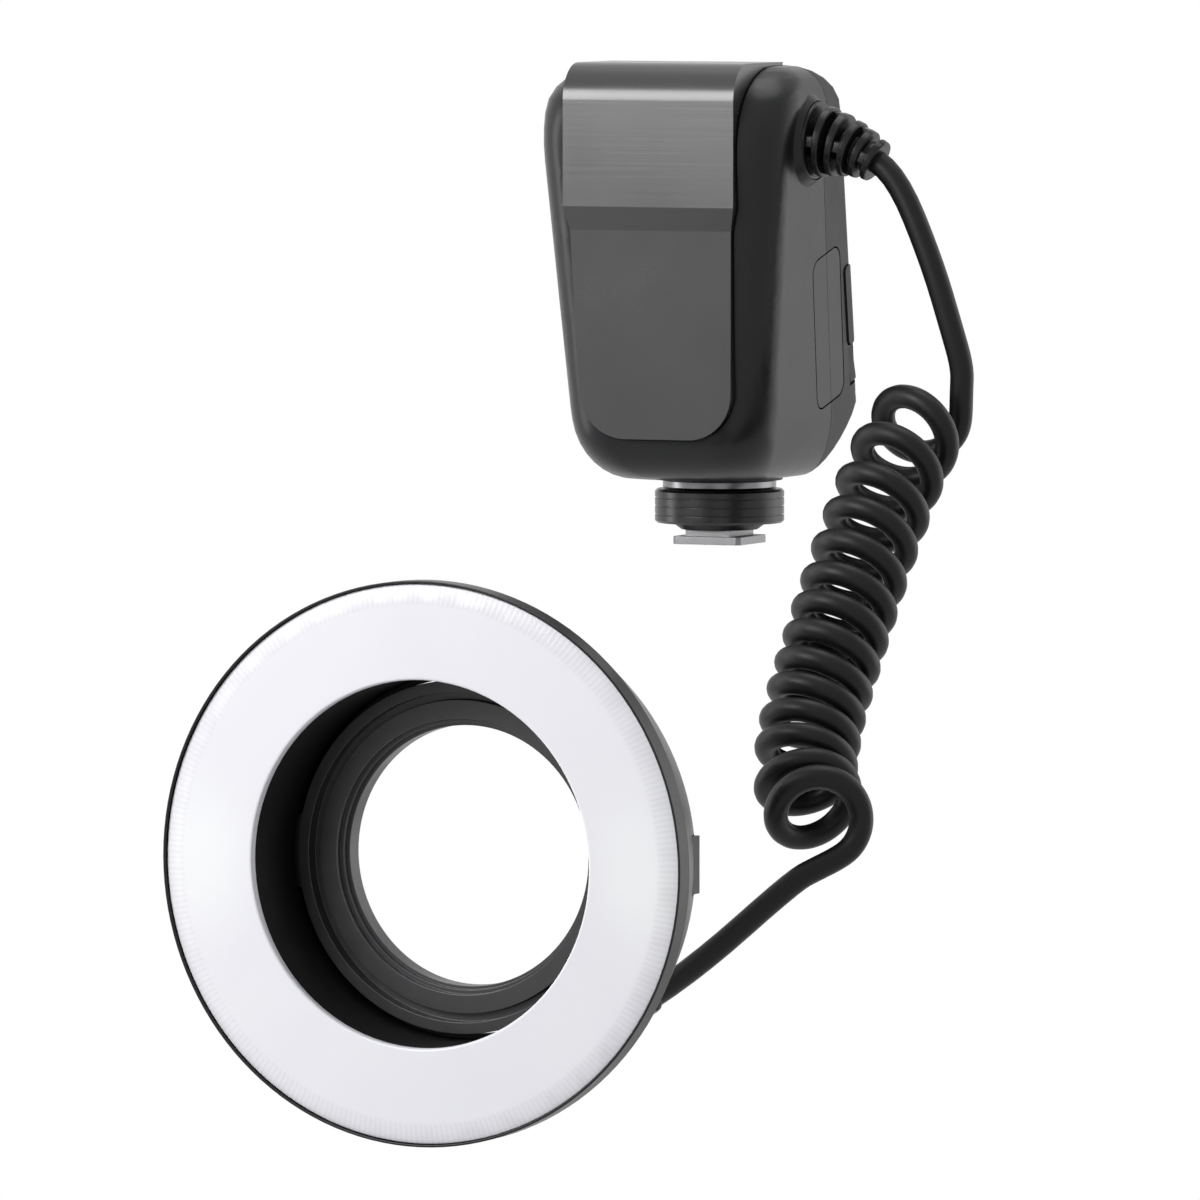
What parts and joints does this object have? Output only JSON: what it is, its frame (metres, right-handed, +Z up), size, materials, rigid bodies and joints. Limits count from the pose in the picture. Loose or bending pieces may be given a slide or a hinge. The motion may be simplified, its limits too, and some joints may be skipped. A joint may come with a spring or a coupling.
{
  "type": "macro ring flash",
  "caption": "Macro ring flash: shoe-mounted control unit with display and dial, curly cord, and round ring head that clamps on a lens adapter ring.",
  "frame": {"origin": "centre of the hot-shoe foot's underside", "axes": "+Z up through the control unit, -Y to the front, where the ring head's light leaves, +X to the viewer's right, the cord's side"},
  "size_m": [0.154, 0.211, 0.2587],
  "materials": {
    "shell_black": "satin",
    "rear_black": "fine grain",
    "panel_black": "satin",
    "key_black": "satin",
    "pad_grey": "matt",
    "boot_rubber": "glossy",
    "cord_black": "satin",
    "cover_rubber": "matt",
    "collar_metal": "satin",
    "lock_ring_black": "anodised, finely turned",
    "foot_steel": "satin",
    "contact_gold": "polished",
    "casing_black": "satin",
    "opal_white": "translucent, satin",
    "bore_black": "matt",
    "adapter_black": "anodised, satin",
    "tube_glass": "clear",
    "board_green": "satin",
    "display_glass": "clear",
    "module_grey": "satin",
    "part_grey": "matt",
    "can_black": "sleeved",
    "reflector_silver": "polished",
    "spring_steel": "bright",
    "lamp_red": "glossy"
  },
  "bodies": {
    "control_unit": {"front_shell": "shell_black", "rear_shell": "rear_black", "front_panel": "panel_black", "display_bezel": "key_black", "display_window": "display_glass", "display_module": "module_grey", "main_circuit_board": "board_green", "transformer": "part_grey", "button_board": "board_green", "dial_encoder": "part_grey", "flash_capacitor": "can_black", "battery_bay": "part_grey", "battery_contacts": "contact_gold", "port_socket": "part_grey", "indicator_lamp": "lamp_red", "case_screws": "spring_steel", "hot_shoe_foot": "foot_steel", "foot_block": "key_black", "foot_screws": "spring_steel", "neck_collar": "collar_metal", "neck_flange": "key_black", "cord_boot_upper": "boot_rubber", "cord_boot_ring": "boot_rubber", "cord_upper_lead": "cord_black", "cord_coil": "cord_black", "cord_lower_lead": "cord_black", "ring_casing": "casing_black", "ring_rear_cover": "casing_black", "ring_screws": "spring_steel", "diffuser": "opal_white", "bore_sleeve": "bore_black", "reflector_tray": "reflector_silver", "flash_tube_left": "tube_glass", "flash_tube_right": "tube_glass", "focus_lamps": "tube_glass", "ring_circuit_board": "board_green", "slider_guide": "part_grey", "slider_springs": "spring_steel"},
    "lock_ring": {"lock_ring": "lock_ring_black"},
    "lock_pin": {"lock_pin": "foot_steel"},
    "shoe_contacts": {"shoe_contacts": "contact_gold"},
    "battery": {"battery_pack": "part_grey", "battery_cap": "shell_black"},
    "battery_release": {"battery_release": "pad_grey"},
    "port_cover": {"port_cover": "cover_rubber"},
    "function_key_1": {"function_key_1": "key_black"},
    "function_key_2": {"function_key_2": "key_black"},
    "function_key_3": {"function_key_3": "key_black"},
    "function_key_4": {"function_key_4": "key_black"},
    "mode_key": {"mode_key": "key_black"},
    "menu_key": {"menu_key": "key_black"},
    "test_button": {"test_button": "key_black"},
    "set_button": {"set_button": "key_black"},
    "power_switch": {"power_switch": "key_black"},
    "select_dial": {"select_dial": "key_black"},
    "release_slider_left": {"release_slider_left": "part_grey"},
    "release_slider_right": {"release_slider_right": "part_grey"},
    "adapter_ring": {"adapter_ring": "adapter_black"}
  },
  "joints": [
    {"name": "lock_ring_turn", "type": "hinge", "parent": "control_unit", "child": "lock_ring", "pos_m": [0, 0, 0.0096], "axis": [0, 0, 1], "range_deg": [0, 90]},
    {"name": "lock_pin_slide", "type": "slide", "parent": "control_unit", "child": "lock_pin", "axis": [0, 0, -1], "range_m": [0, 0.0015]},
    {"name": "shoe_contacts_slide", "type": "slide", "parent": "control_unit", "child": "shoe_contacts", "axis": [0, 0, 1], "range_m": [0, 0.0004], "stiffness_N_per_m": 1200, "springref_m": -0.0005},
    {"name": "battery_slide", "type": "slide", "parent": "control_unit", "child": "battery", "axis": [1, 0, 0], "range_m": [0, 0.056]},
    {"name": "battery_release_slide", "type": "slide", "parent": "control_unit", "child": "battery_release", "axis": [-1, 0, 0], "range_m": [0, 0.0012], "stiffness_N_per_m": 900, "springref_m": -0.001},
    {"name": "port_cover_hinge", "type": "hinge", "parent": "control_unit", "child": "port_cover", "pos_m": [0.02773, 0.01953, 0.04138], "axis": [0, 0.9485, 0.3169], "range_deg": [0, 90]},
    {"name": "function_key_1_slide", "type": "slide", "parent": "control_unit", "child": "function_key_1", "axis": [0, -0.9485, -0.3169], "range_m": [0, 0.0005], "stiffness_N_per_m": 900, "springref_m": -0.0006},
    {"name": "function_key_2_slide", "type": "slide", "parent": "control_unit", "child": "function_key_2", "axis": [0, -0.9485, -0.3169], "range_m": [0, 0.0005], "stiffness_N_per_m": 900, "springref_m": -0.0006},
    {"name": "function_key_3_slide", "type": "slide", "parent": "control_unit", "child": "function_key_3", "axis": [0, -0.9485, -0.3169], "range_m": [0, 0.0005], "stiffness_N_per_m": 900, "springref_m": -0.0006},
    {"name": "function_key_4_slide", "type": "slide", "parent": "control_unit", "child": "function_key_4", "axis": [0, -0.9485, -0.3169], "range_m": [0, 0.0005], "stiffness_N_per_m": 900, "springref_m": -0.0006},
    {"name": "mode_key_slide", "type": "slide", "parent": "control_unit", "child": "mode_key", "axis": [0, -0.9485, -0.3169], "range_m": [0, 0.0005], "stiffness_N_per_m": 900, "springref_m": -0.0006},
    {"name": "menu_key_slide", "type": "slide", "parent": "control_unit", "child": "menu_key", "axis": [0, -0.9485, -0.3169], "range_m": [0, 0.0005], "stiffness_N_per_m": 900, "springref_m": -0.0006},
    {"name": "test_button_slide", "type": "slide", "parent": "control_unit", "child": "test_button", "axis": [0, -0.9485, -0.3169], "range_m": [0, 0.0005], "stiffness_N_per_m": 900, "springref_m": -0.0006},
    {"name": "set_button_slide", "type": "slide", "parent": "control_unit", "child": "set_button", "axis": [0, -0.9485, -0.3169], "range_m": [0, 0.0005], "stiffness_N_per_m": 900, "springref_m": -0.0006},
    {"name": "power_switch_slide", "type": "slide", "parent": "control_unit", "child": "power_switch", "axis": [0, -0.3169, 0.9485], "range_m": [0, 0.003]},
    {"name": "select_dial_turn", "type": "hinge", "parent": "control_unit", "child": "select_dial", "pos_m": [0, 0.02091, 0.05112], "axis": [0, 0.9485, 0.3169], "continuous": true},
    {"name": "release_slider_left_slide", "type": "slide", "parent": "control_unit", "child": "release_slider_left", "axis": [1, 0, 0], "range_m": [0, 0.0015], "stiffness_N_per_m": 700, "springref_m": -0.002},
    {"name": "release_slider_right_slide", "type": "slide", "parent": "control_unit", "child": "release_slider_right", "axis": [-1, 0, 0], "range_m": [0, 0.0015], "stiffness_N_per_m": 700, "springref_m": -0.002},
    {"name": "adapter_ring_turn", "type": "hinge", "parent": "control_unit", "child": "adapter_ring", "pos_m": [0, -0.155, -0.068], "axis": [0, 1, 0], "continuous": true}
  ],
  "couplings": [
    {"joint": "lock_pin_slide", "follows": "lock_ring_turn", "m_per_rad": 0.000954}
  ]
}
